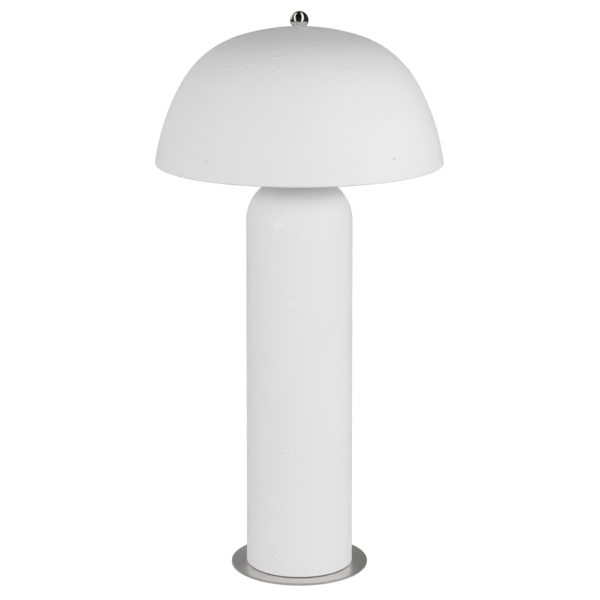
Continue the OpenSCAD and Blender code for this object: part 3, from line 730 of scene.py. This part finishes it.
shadeLook = {
    "width": 380.0, "height": 177.7, "wall": 4.0,
    "crownRadius": 266.7, "crownAngle": 17.6, "haunchAngle": 59.9, "rimAngle": 81.6,
    "holeRadius": 3.8, "bossRadius": 15.0,
    "waviness": 0.22, "waveScale": 5.0, "seed": 11.0,
    "around": 256, "runs": {"inside": 64, "lip": 10, "outside": 120, "hole": 3},
}


def makeShade(look):
    haunchR, sideR = tangentArcs(look)
    shade = grown(
        domeTree(look["runs"]), look, shadeCeramic, haunchRadius=haunchR, sideRadius=sideR,
        top=heights("shade")[0] + look["height"], bossHeight=heights("shade_washer")[1]
    )
    placed(shade, "domeShade", "shade", shadeCeramic, "shade")


makeShade(shadeLook)
print("shade done")

columnLook = {
    "footRadius": 72.5, "neckRadius": 70.7, "shoulder": 57.8, "wall": 7.0, "holeRadius": 7.2, "bevel": 1.0,
    "waviness": 0.14, "waveScale": 22.0, "seed": 4.0,
    "inletHeight": 27.8, "inletRadius": 5.2, "inletFaceRadius": 7.9, "inletFaceY": 71.785,
    "inletCut": (50, 90), "around": 192,
    "runs": {
        "base": 3, "edge": 5, "side": 90, "bend": 44, "top": 4, "bore": 3, "under": 2, "back": 20, "down": 24
    },
}


def makeColumn(look):
    bottom, top = heights("column")
    column = grown(vesselTree(look["runs"]), look, columnCeramic, foot=bottom, height=top - bottom)
    back = along((0, 1, 0), (0, 0, look["inletHeight"]))
    start, end = look["inletCut"]
    hole = plug(look["inletRadius"], start, end, 48, back)
    face = plug(look["inletFaceRadius"], look["inletFaceY"], end, 64, back)
    placed(cutBy(column, hole, face), "columnBody", "base", columnCeramic, "column")


makeColumn(columnLook)
print("column done")


# foot

plateLook = {
    "radius": 93.5, "edge": 0.5,
    "sinkRadius": 4.0, "boreRadius": 2.2, "sinkDepth": 2.3,
    "screws": {"circle": 24.0, "count": 3, "start": 30.0},
}


def makePlate(look):
    bottom, top = heights("base_plate")
    radius, edge = look["radius"], look["edge"]
    outline = softened([(0, bottom), (radius, bottom, edge), (radius, top, edge), (0, top)], 0, 5)
    sinkR, boreR, under, over = look["sinkRadius"], look["boreRadius"], -1, 5   # cut past both faces
    sink = [(0, under), (sinkR, under), (sinkR, 0), (boreR, look["sinkDepth"]), (boreR, over), (0, over)]
    screws = look["screws"]
    sinks = []
    for place in range(screws["count"]):
        angle = radians(screws["start"] + 360 / screws["count"] * place)
        centre = (screws["circle"] * cos(angle), screws["circle"] * sin(angle), bottom)
        sinks.append(turned(sink, 40, along((0, 0, 1), centre)))
    placed(cutBy(turned(outline, 256), *sinks), "basePlate", "base", plateNickel, "base_plate")


makePlate(plateLook)

padLook = {
    "radius": 6.0, "edge": 0.6, "topEdge": 0.2, "circle": 82.5, "count": 4, "start": 45.0,
    "ridges": 3, "ridgeHeight": 0.12, "ridgeHalf": 0.3, "firstRidge": 1.2, "ridgeStep": 1.3,
}


def makePads(look):
    top = heights("foot_pads")[1]
    low, half = look["ridgeHeight"], look["ridgeHalf"]
    outline = [(0, low, 0)]
    for place in range(look["ridges"]):
        middle = look["firstRidge"] + place * look["ridgeStep"]
        outline += [(middle - half, low, 0), (middle, 0, 0), (middle + half, low, 0)]
    outline += [(look["radius"], 0, look["edge"]), (look["radius"], top, look["topEdge"]), (0, top, 0)]
    pads = ringOf(turned(softened(outline, 0.2), 48), look, blackRubber)
    placed(pads, "footPads", "base", blackRubber, "foot_pads")


makePads(padLook)

screwLook = {
    "head": 3.8, "headDepth": 2.2, "shank": 2.0, "neck": 0.3, "pitch": 0.7, "threadDepth": 0.35,
    "tip": 0.4, "cross": 0.8, "crossDepth": 1.0,
}


def makeHubScrews(look):
    bottom, top = heights("hub_screws")
    shank, pitch = look["shank"], look["pitch"]
    height = bottom + look["headDepth"]
    outline = [(0, bottom, 0), (look["head"], bottom, 0.15), (shank, height, 0.1)]
    height += look["neck"]
    while height < top - pitch:
        outline += [(shank, height, 0), (shank - look["threadDepth"], height + pitch / 2, 0)]
        height += pitch
    outline += [(shank - look["tip"], top, 0.1), (0, top, 0)]
    blades = []
    for wide, tall in ((shank, look["cross"] / 2), (look["cross"] / 2, shank)):
        corners = [(-wide, -tall), (wide, -tall), (wide, tall), (-wide, tall)]
        blades.append(extruded(corners, 2 * look["crossDepth"], Matrix.Translation((0, 0, bottom * mm))))
    screw = cutBy(turned(softened(outline, 0.1), 40), *blades)
    screws = ringOf(screw, plateLook["screws"], zincSteel)
    placed(screws, "hubScrews", "base", zincSteel, "hub_screws")


makeHubScrews(screwLook)

bushingLook = {"bore": 3.25, "neck": 5.0, "flange": 7.5, "flangeDepth": 2.0, "height": 27.8}


def makeBushing(look):
    low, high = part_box("cord_bushing")
    inner, outer = low.y / mm, high.y / mm
    face = outer - look["flangeDepth"]
    bore, neck, flange = sizes(look, "bore neck flange")
    outline = softened([
        (bore, inner, 0.5), (neck - 0.3, inner, 0.4), (neck, inner + 1.2, 0.2), (neck, face, 0.1),
        (flange, face, 0.3), (flange, outer - 0.7, 0.3), (flange - 0.9, outer, 0.6),
        (bore + 1.0, outer, 0.2), (bore + 0.8, outer - 0.35, 0.2), (bore, outer - 0.9, 0.5)
    ], 0.2, 4)
    bushing = turned(outline, 72, along((0, 1, 0), (0, 0, look["height"])))
    placed(bushing, "cordBushing", "base", blackPlastic, "cord_bushing")


makeBushing(bushingLook)
print("foot done")


# ball on top

finialLook = {"radius": 12.0, "bore": 3.225, "boreDepth": 9.2, "lip": 0.35}


def makeFinial(look):
    bottom, top = heights("finial")
    radius, bore, lip = sizes(look, "radius bore lip")
    centre = top - radius
    start = degrees(asin((bottom - centre + lip) / radius))
    ball = arcPoints((0, centre), radius, start, 90, 72)
    ball[-1] = (0, top)
    footR = ball[0][0]
    outline = [(0, bottom + look["boreDepth"]), (bore, bottom + look["boreDepth"]), (bore, bottom)]
    outline += [(footR - lip, bottom), (footR - 0.1, bottom + 0.1)] + ball
    placed(turned(outline, 144), "ballFinial", "finial", polishedNickel, "finial")


makeFinial(finialLook)
print("finial done")


# harp and its fittings

harpLook = {
    "span": 29.0, "width": 57.0, "wire": 2.0, "sides": 28, "legTop": 588.68, "bowHeight": 670.08,
    "eyeRadius": 7.0, "eyeDepth": 3.0, "eyeBore": 2.55, "eyeEdge": 0.9,
}


def harpPath(look, legLow):
    # one chain of points for each leg: up the leg, out, back and over to the eye
    span, width, legTop, bowHeight = sizes(look, "span width legTop bowHeight")
    rise = bowHeight - legTop
    bend = 2 * atan((width - span) / rise)
    flareR = rise / (2 * sin(bend))
    bend = degrees(bend)
    out = arcPoints((span + flareR, legTop), flareR, 180, 180 - bend, 14)
    back = arcPoints((width - flareR, bowHeight), flareR, -bend, 0, 14)
    reach = degrees(acos((look["eyeRadius"] - look["wire"] / 2) / width))
    bow = arcPoints((0, bowHeight), width, 0, reach, 40)
    half = [(span, legLow), (span, legTop)] + out[1:] + back[1:] + bow[1:]
    points = [Vector((side * x, 0, z)) * mm for side in (-1, 1) for x, z in half]
    count = len(half)
    edges = [(start + step, start + step + 1) for start in (0, count) for step in range(count - 1)]
    mesh = bpy.data.meshes.new("path")
    mesh.from_pydata(points, edges, [])
    return added(mesh)


def makeHarp(look):
    bottom, top = heights("harp")
    wire = grown(wireTree(), look, satinNickel, harpPath(look, bottom))
    bore, radius, edge = sizes(look, "eyeBore eyeRadius eyeEdge")
    under = top - look["eyeDepth"]
    eye = softened([(bore, under), (radius, under, edge), (radius, top, edge), (bore, top)], 0.3, 4)
    placed(joined(wire, turned(eye, 64)), "harpWire", "harp", satinNickel, "harp")


makeHarp(harpLook)

sleeveLook = {"bore": 2.25, "radius": 3.55, "groove": 0.3, "grooveHalf": 0.4, "rings": (3.0, 4.4)}


def makeSleeves(look):
    bore, radius, half = sizes(look, "bore radius grooveHalf")
    first, second = look["rings"]
    for name in ("sleeve_left", "sleeve_right"):
        low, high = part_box(name)
        bottom, top = heights(name)
        outline = [(bore, bottom, 0.3), (radius, bottom, 0.6)]
        for height in (bottom + first, bottom + second, top - second, top - first):
            outline += [(radius, height - half, 0.1), (radius - look["groove"], height, 0.2)]
            outline += [(radius, height + half, 0.1)]
        outline += [(radius, top, 0.6), (bore, top, 0.3)]
        sleeve = turned(softened(outline, 0.2), 56, along((0, 0, 1), ((low.x + high.x) / 2 / mm, 0, 0)))
        placed(sleeve, "lockSleeve" + name[6:].title(), name, satinNickel, name)


makeSleeves(sleeveLook)

swivelLook = {
    "rivet": 4.0, "rivetDepth": 1.4, "neck": 2.5, "seat": 10.0, "seatDepth": 2.0,
    "stud": 3.175, "depth": 0.42, "pitch": 0.94, "collar": 0.3, "tip": 0.4,
    "around": 48, "runs": {"down": 6, "foot": 2, "up": 170, "head": 2},
}


def makeSwivel(look):
    bottom, top = heights("harp_swivel")
    seatTop = heights("shade_washer")[0]
    seatLow = seatTop - look["seatDepth"]
    rivetTop = bottom + look["rivetDepth"]
    core = look["stud"] - look["depth"]
    rivet, neck, seat = sizes(look, "rivet neck seat")
    body = turned(softened([
        (0, bottom, 0), (rivet, bottom, 1.0), (rivet, rivetTop, 0.2), (neck, rivetTop, 0.1),
        (neck, seatLow, 0.1), (seat, seatLow, 0.4), (seat, seatTop, 0.5), (core, seatTop, 0.1),
        (core, top, 0.6), (0, top, 0)
    ], 0.2, 4), 72)
    thread = grown(
        threadTree(look["runs"]), look, satinNickel, crest=look["stud"], wall=look["depth"] + look["collar"],
        low=seatTop, high=top - look["tip"]
    )
    placed(joined(body, thread), "harpSwivel", "swivel", satinNickel, "harp_swivel")


makeSwivel(swivelLook)

saddleLook = {
    "width": 12.0, "thick": 2.0, "edge": 0.35, "bend": 6.0, "ear": 12.0, "span": 29.0,
    "hub": 11.0, "proud": 0.06, "bore": 5.2, "post": 2.0, "postRoot": 5.0,
}


def makeSaddle(look):
    bottom, top = heights("harp_saddle")
    thick, bend, span = sizes(look, "thick bend span")
    bendC = (span - thick / 2 - bend, bottom + bend + thick)
    earTop = bottom + look["ear"]
    right = arcPoints(bendC, bend + thick, -90, 0, 10)
    right += [(span + thick / 2, earTop), (span - thick / 2, earTop)] + arcPoints(bendC, bend, 0, -90, 10)
    left = [(-x, z) for x, z in reversed(right)]
    saddle = extruded(right + left, look["width"], Matrix.Rotation(quarter, 4, "X"), look["edge"])
    floor = bottom + look["proud"]   # the hub stands a hair above the strap, so that no two faces lie in one
    roof = floor + thick
    hub = softened([(0, floor), (look["hub"], floor, 0.5), (look["hub"], roof, 0.5), (0, roof)], 0.2)
    pieces = [turned(hub, 72)]
    root = earTop - look["postRoot"]
    post = softened([(0, root, 0), (look["post"], root, 0.4), (look["post"], top, 0.7), (0, top, 0)], 0.2)
    for side in (-1, 1):
        pieces.append(turned(post, 40, along((0, 0, 1), (side * span, 0, 0))))
    cutBy(saddle, *pieces, operation="UNION")
    cutBy(saddle, plug(look["bore"], bottom - 1, bottom + 4, 48))
    placed(saddle, "harpSaddle", "base", satinNickel, "harp_saddle")


makeSaddle(saddleLook)

capLook = {"radius": 20.0, "flat": 10.0, "wall": 1.0, "bore": 5.2, "rim": 0.8}


def makeVaseCap(look):
    bottom, top = heights("vase_cap")
    rise = top - bottom
    radius, flat, wall, bore = sizes(look, "radius flat wall bore")
    centre = (rise ** 2 + flat ** 2 - radius ** 2) / (2 * rise)
    bow = hypot(radius, centre)
    start = degrees(atan2(-centre, radius)) + look["rim"]
    end = degrees(atan2(rise - centre, flat))
    inner = bow - wall
    innerStart = degrees(asin(-centre / inner))
    innerEnd = degrees(asin((rise - wall - centre) / inner))
    outline = arcPoints((0, bottom + centre), bow, start, end, 16) + [(bore, top), (bore, top - wall)]
    outline += arcPoints((0, bottom + centre), inner, innerEnd, innerStart, 16)
    placed(turned(outline, 96), "vaseCap", "base", plateNickel, "vase_cap")


makeVaseCap(capLook)

nutLook = {"flats": 14.0, "bore": 5.05, "chamfer": 0.8, "boreChamfer": 0.5}


def makeNut(look):
    bottom, top = heights("cap_nut")
    small = look["flats"] / 2
    corner = small / cos(radians(30))
    hexagon = arcPoints((0, 0), corner, 0, 300, 5)
    nut = extruded(hexagon, top - bottom, Matrix.Translation((0, 0, (top + bottom) / 2 * mm)))
    wide, drop, past = corner + 0.05, look["chamfer"], 0.01
    barrel = turned([
        (0, bottom - past), (small, bottom - past), (wide, bottom + drop), (wide, top - drop),
        (small, top + past), (0, top + past)
    ])
    bore, edge = look["bore"], look["boreChamfer"]
    bore = turned([
        (0, bottom - 1), (bore + edge + 1, bottom - 1), (bore, bottom + edge), (bore, top - edge),
        (bore + edge + 1, top + 1), (0, top + 1)
    ], 64)
    cutBy(nut, barrel, operation="INTERSECT")
    placed(cutBy(nut, bore), "capNut", "base", zincSteel, "cap_nut")


makeNut(nutLook)
print("harp and fittings done")


# socket and switch

socketLook = {
    "collarBore": 5.05, "collar": 7.05, "capRadius": 17.1, "shellRadius": 16.1, "wall": 0.8, "round": 6.0,
    "capRings": (3.2, 1.6), "capGroove": (0.3, 0.18),   # grooves below the top; half width and depth
    "shellRings": (9.0, 7.6, 6.2), "shellGroove": (0.45, 0.22),
    "bead": 0.8, "notch": 3.0, "stemHeight": 579.18, "setScrew": 1.55,
}


def ringed(radius, heightList, half, depth):
    # the part of an outline that has a shallow groove at each height
    outline = []
    for height in heightList:
        outline += [(radius, height - half), (radius - depth, height), (radius, height + half)]
    return outline


def makeSocketCap(look):
    bottom, top = heights("socket_cap")
    bore, collar, radius, wall, soft = sizes(look, "collarBore collar capRadius wall round")
    collarTop = heights("switch_body")[0] - wall
    bendC = (radius - soft, collarTop + soft)
    outline = [(bore, bottom), (collar - 0.3, bottom), (collar, bottom + 0.3)]
    outline += [(collar, collarTop - 0.5), (collar + 0.15, collarTop - 0.15), (collar + 0.5, collarTop)]
    outline += arcPoints(bendC, soft, -90, 0, 12)
    outline += ringed(radius, [top - down for down in look["capRings"]], *look["capGroove"])
    outline += [(radius, top - 0.2), (radius - 0.2, top), (radius - wall, top)]
    outline += arcPoints(bendC, soft - wall, 0, -90, 12) + [(bore, collarTop + wall)]
    drill = plug(look["setScrew"], 0, 12, 32, along((0, 1, 0), (0, 0, (bottom + collarTop) / 2)))
    placed(cutBy(turned(outline, 112), drill), "socketCap", "base", satinNickel, "socket_cap")


def makeSocketShell(look):
    bottom, top = heights("socket_shell")
    radius, bead, notch = sizes(look, "shellRadius bead notch")
    inner = radius - look["wall"]
    outline = [(inner, bottom), (radius - 0.2, bottom), (radius, bottom + 0.2)]
    outline += ringed(radius, [top - down for down in look["shellRings"]], *look["shellGroove"])
    outline += arcPoints((radius, top - bead), bead, -88, 90, 14)
    outline += [(inner + 0.15, top - 0.05), (inner, top - 0.25)]
    slot = [(-notch, bottom - 2)] + arcPoints((0, look["stemHeight"]), notch, 180, 0, 20)
    slot.append((notch, bottom - 2))
    ahead = Matrix.Translation((0, -radius * mm, 0)) @ Matrix.Rotation(quarter, 4, "X")
    shell = cutBy(turned(outline, 128), extruded(slot, radius, ahead))
    placed(shell, "socketShell", "base", satinNickel, "socket_shell")


makeSocketCap(socketLook)
makeSocketShell(socketLook)

threadLook = {
    "pitch": 3.63, "depth": 0.6, "wall": 0.4, "collar": 1.6, "socketCrest": 14.3, "bulbCrest": 13.0,
    "around": 96, "runs": {"down": 84, "foot": 1, "up": 84, "head": 1},
}


def makeThreads(look):
    tree = threadTree(look["runs"])
    rows = (
        ("screw_shell", "socketThread", "socketCrest", "base", brassFinish),
        ("bulb_screw_base", "bulbThread", "bulbCrest", "bulb", zincSteel),
    )
    for node, name, crest, body, finish in rows:
        low, high = heights(node)
        shell = grown(tree, look, finish, crest=look[crest], low=low, high=high)
        placed(shell, name, body, finish, node)


makeThreads(threadLook)

knobLook = {
    "radius": 6.5, "bore": 2.05, "round": 1.2,
    "flutes": 16, "fluteDepth": 0.5, "fluteStart": 2.0, "fluteRamp": 0.6, "fluteGap": 0.15,
    "around": 192, "runs": {"floor": 1, "hole": 1, "foot": 2, "side": 14, "edge": 6, "face": 6},
}


def makeKnob(look):
    low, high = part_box("turn_knob")
    length = (high.y - low.y) / mm
    knob = grown(flutedTree(look["runs"]), look, blackPlastic, length=length, boreDepth=length / 2)
    knob.data.transform(along((0, -1, 0), (0, high.y / mm, (low.z + high.z) / 2 / mm)))
    placed(knob, "turnKnob", "switch", blackPlastic, "turn_knob")


makeKnob(knobLook)
print("socket and switch done")


# bulb's tip

contactLook = {"low": 3.5, "high": 4.75}


def makeBulbContact(look):
    bottom, top = heights("bulb_contact")
    low, high = look["low"], look["high"]
    outline = softened([
        (0, bottom, 0), (low * 0.7, bottom, 0.8), (low + 0.6, bottom + 0.5, 0.5),
        (high, top - 0.25, 0.2), (high, top, 0.05), (0, top, 0)
    ], 0.2, 4)
    placed(turned(outline, 56), "bulbContact", "bulb", zincSteel, "bulb_contact")


makeBulbContact(contactLook)
print("bulb done")


# CAD nodes that stay, with their finishes

keptNodes = (
    (zincSteel, "rod_hub threaded_rod cap_set_screw switch_stem"),
    (blackRubber, "foot_gasket top_grommet shade_washer"),
    (phenolic, "switch_body bulb_insulator"),
    (brassFinish, "terminal_screws centre_contact"),
    (cardLiner, "socket_liner"),
    (whitePlastic, "bulb_body"),
    (boardFinish, "light_board"),
    (frostedPlastic, "bulb_diffuser"),
)
for finish, names in keptNodes:
    for name in names.split():
        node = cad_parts[name]
        if not node.material_slots:
            node.data.materials.append(finish)
        for place in node.material_slots:
            place.material = finish
print("kept nodes finished")


# room, light and camera

def lookers(net):
    # 1 for what the camera sees, and 1 for what metal sees; what metal throws on the ceramic stays as it is
    rays = net.node("ShaderNodeLightPath", output="Is Camera Ray")
    shiny = net.math("MAXIMUM", rays.out("Is Glossy Ray"), rays.out("Is Transmission Ray"))
    return rays, shiny * (rays.out("Diffuse Depth") < 1)


studioLook = {
    "fill": 3.27,   # broad light from low in front
    "fillRight": 0.46,   # more of it from the right
    "fillSides": 1.4,   # and from both sides
    "frontSpan": (0.95, -0.15),   # it fades out from the sides to the back
    "fillLow": 0.62,   # at floor level, and how it grows upwards
    "fillRise": 1.2,
    "fillTop": (0.29, 0.35),   # it ends between these heights
    "fillBack": 2.2,   # a weaker one from behind, so that the back is as white
    "rearSpan": (0.45, 0.85),
    "mirrorDark": 0.006,   # what metal mirrors: a dark studio, grey behind the lamp
    "mirrorBack": 0.36,
    "backSpan": (0.20, 0.75),
    "backHeight": (0.45, 0.65),
    "backLean": 0.5,   # the grey grows from right to left
    "mirrorBelow": 0.32,   # seen only by the plate's underside, through the floor beneath it
    "belowSpan": (-0.02, -1.0),
}


def makeStudio(look):
    world = bpy.data.worlds.new("studio")
    scene.world = world
    world.use_nodes = True
    net = Net(world.node_tree)
    camera, shiny = lookers(net)
    x, y, z = net.split(net.node("ShaderNodeTexCoord", output="Generated"))
    fill = look["fill"] + look["fillRight"] * x + look["fillSides"] * x * x
    fill = fill * net.ramp(y, *look["frontSpan"]) + look["fillBack"] * net.ramp(y, *look["rearSpan"])
    fill = fill * (look["fillLow"] + look["fillRise"] * z) * (1 - net.ramp(z, *look["fillTop"]))
    behind = net.ramp(y, *look["backSpan"]) * (1 - net.ramp(z, *look["backHeight"]))
    behind = behind * (2 * net.ramp(x, look["backLean"], -look["backLean"]))
    mirror = look["mirrorDark"] + (look["mirrorBack"] - look["mirrorDark"]) * behind
    mirror = mirror + look["mirrorBelow"] * net.ramp(z, *look["belowSpan"])
    level = fill + (mirror - fill) * shiny
    level = level + (1 - level) * camera
    shader = net.node("ShaderNodeBackground", {"Color": net.join(level, level, level)})
    net.node("ShaderNodeOutputWorld", {"Surface": shader})


makeStudio(studioLook)

floorLook = {
    "size": 80.0, "tone": 0.86,
    "mirrorTone": 0.05,   # as metal mirrors it, past the edge of the table
    "tableEdge": (1.2, 1.8),
    "seenTone": 0.30,   # as the camera sees it: a little lit colour over a white glow
    "seenGlow": 0.93,
    "plateReach": 0.092,   # metal looks through it below the plate
}


def makeFloor(look):
    half = look["size"] / 2
    corners = [(-half, -half, 0), (half, -half, 0), (half, half, 0), (-half, half, 0)]
    mesh = bpy.data.meshes.new("floor")
    mesh.from_pydata(corners, [], [(0, 1, 2, 3)])
    material, net, point = newFinish("paleFloor")
    camera, shiny = lookers(net)
    reach = net.length(point)
    lit = look["tone"] + (look["mirrorTone"] - look["tone"]) * shiny * net.ramp(reach, *look["tableEdge"])
    parts = []
    for tone, glow in ((net.join(lit, lit, lit), 0.0), ((look["seenTone"],) * 3, look["seenGlow"])):
        plain = net.node("ShaderNodeBsdfDiffuse", {"Color": tone})
        light = net.node("ShaderNodeEmission", {"Color": (1, 1, 1), "Strength": glow})
        parts.append(net.node("ShaderNodeAddShader", {0: plain, 1: light}))
    solid = net.node("ShaderNodeMixShader", {0: camera, 1: parts[0], 2: parts[1]})
    # a view from underneath looks through the floor, and so does the plate's underside
    beneath = net.node("ShaderNodeNewGeometry", output="Backfacing")
    beneath = net.math("MAXIMUM", beneath, shiny * (reach < look["plateReach"]))
    clear = net.node("ShaderNodeBsdfTransparent")
    surface = net.node("ShaderNodeMixShader", {0: beneath, 1: solid, 2: clear})
    net.node("ShaderNodeOutputMaterial", {"Surface": surface})
    mesh.materials.append(material)
    added(mesh)


makeFloor(floorLook)

lampLook = {
    "leftStrip": {"start": (-1.19, -1.18, 0.40), "end": (-0.59, 0.68, 2.19), "width": 0.36, "power": 3.4},
    "rightStrip": {"start": (0.75, -1.27, 0.30), "end": (0.39, 0.72, 2.67), "width": 0.40, "power": 4.6},
}
lampTarget = Vector((0, 0, 0.60))


def makeLamps(look):
    # each strip runs from its start to its end, and faces the target
    for name, row in look.items():
        start, end = Vector(row["start"]), Vector(row["end"])
        middle = (start + end) / 2
        length = (end - start).length
        lengthwise = (end - start) / length
        across = lengthwise.cross(middle - lampTarget).normalized()
        away = across.cross(lengthwise)
        lamp = bpy.data.lights.new(name, "AREA")
        lamp.shape = "RECTANGLE"
        lamp.size = row["width"]
        lamp.size_y = length
        lamp.energy = row["power"]
        thing = added(lamp)
        turn = Matrix((across, lengthwise, away)).transposed().to_4x4()
        thing.matrix_world = Matrix.Translation(middle) @ turn
        thing.visible_camera = False


makeLamps(lampLook)

cameraLook = {"lens": 120.5, "sensor": 36.0, "place": (0.0008, -2.619, 1.0014), "tilt": 76.51}


def makeCamera(look):
    data = bpy.data.cameras.new("camera")
    data.lens = look["lens"]
    data.sensor_width = look["sensor"]
    camera = added(data)
    camera.location = look["place"]
    camera.rotation_euler = (radians(look["tilt"]), 0, 0)
    scene.camera = camera


makeCamera(cameraLook)
scene.view_settings.view_transform = "Standard"
print("room, lamps and camera done")
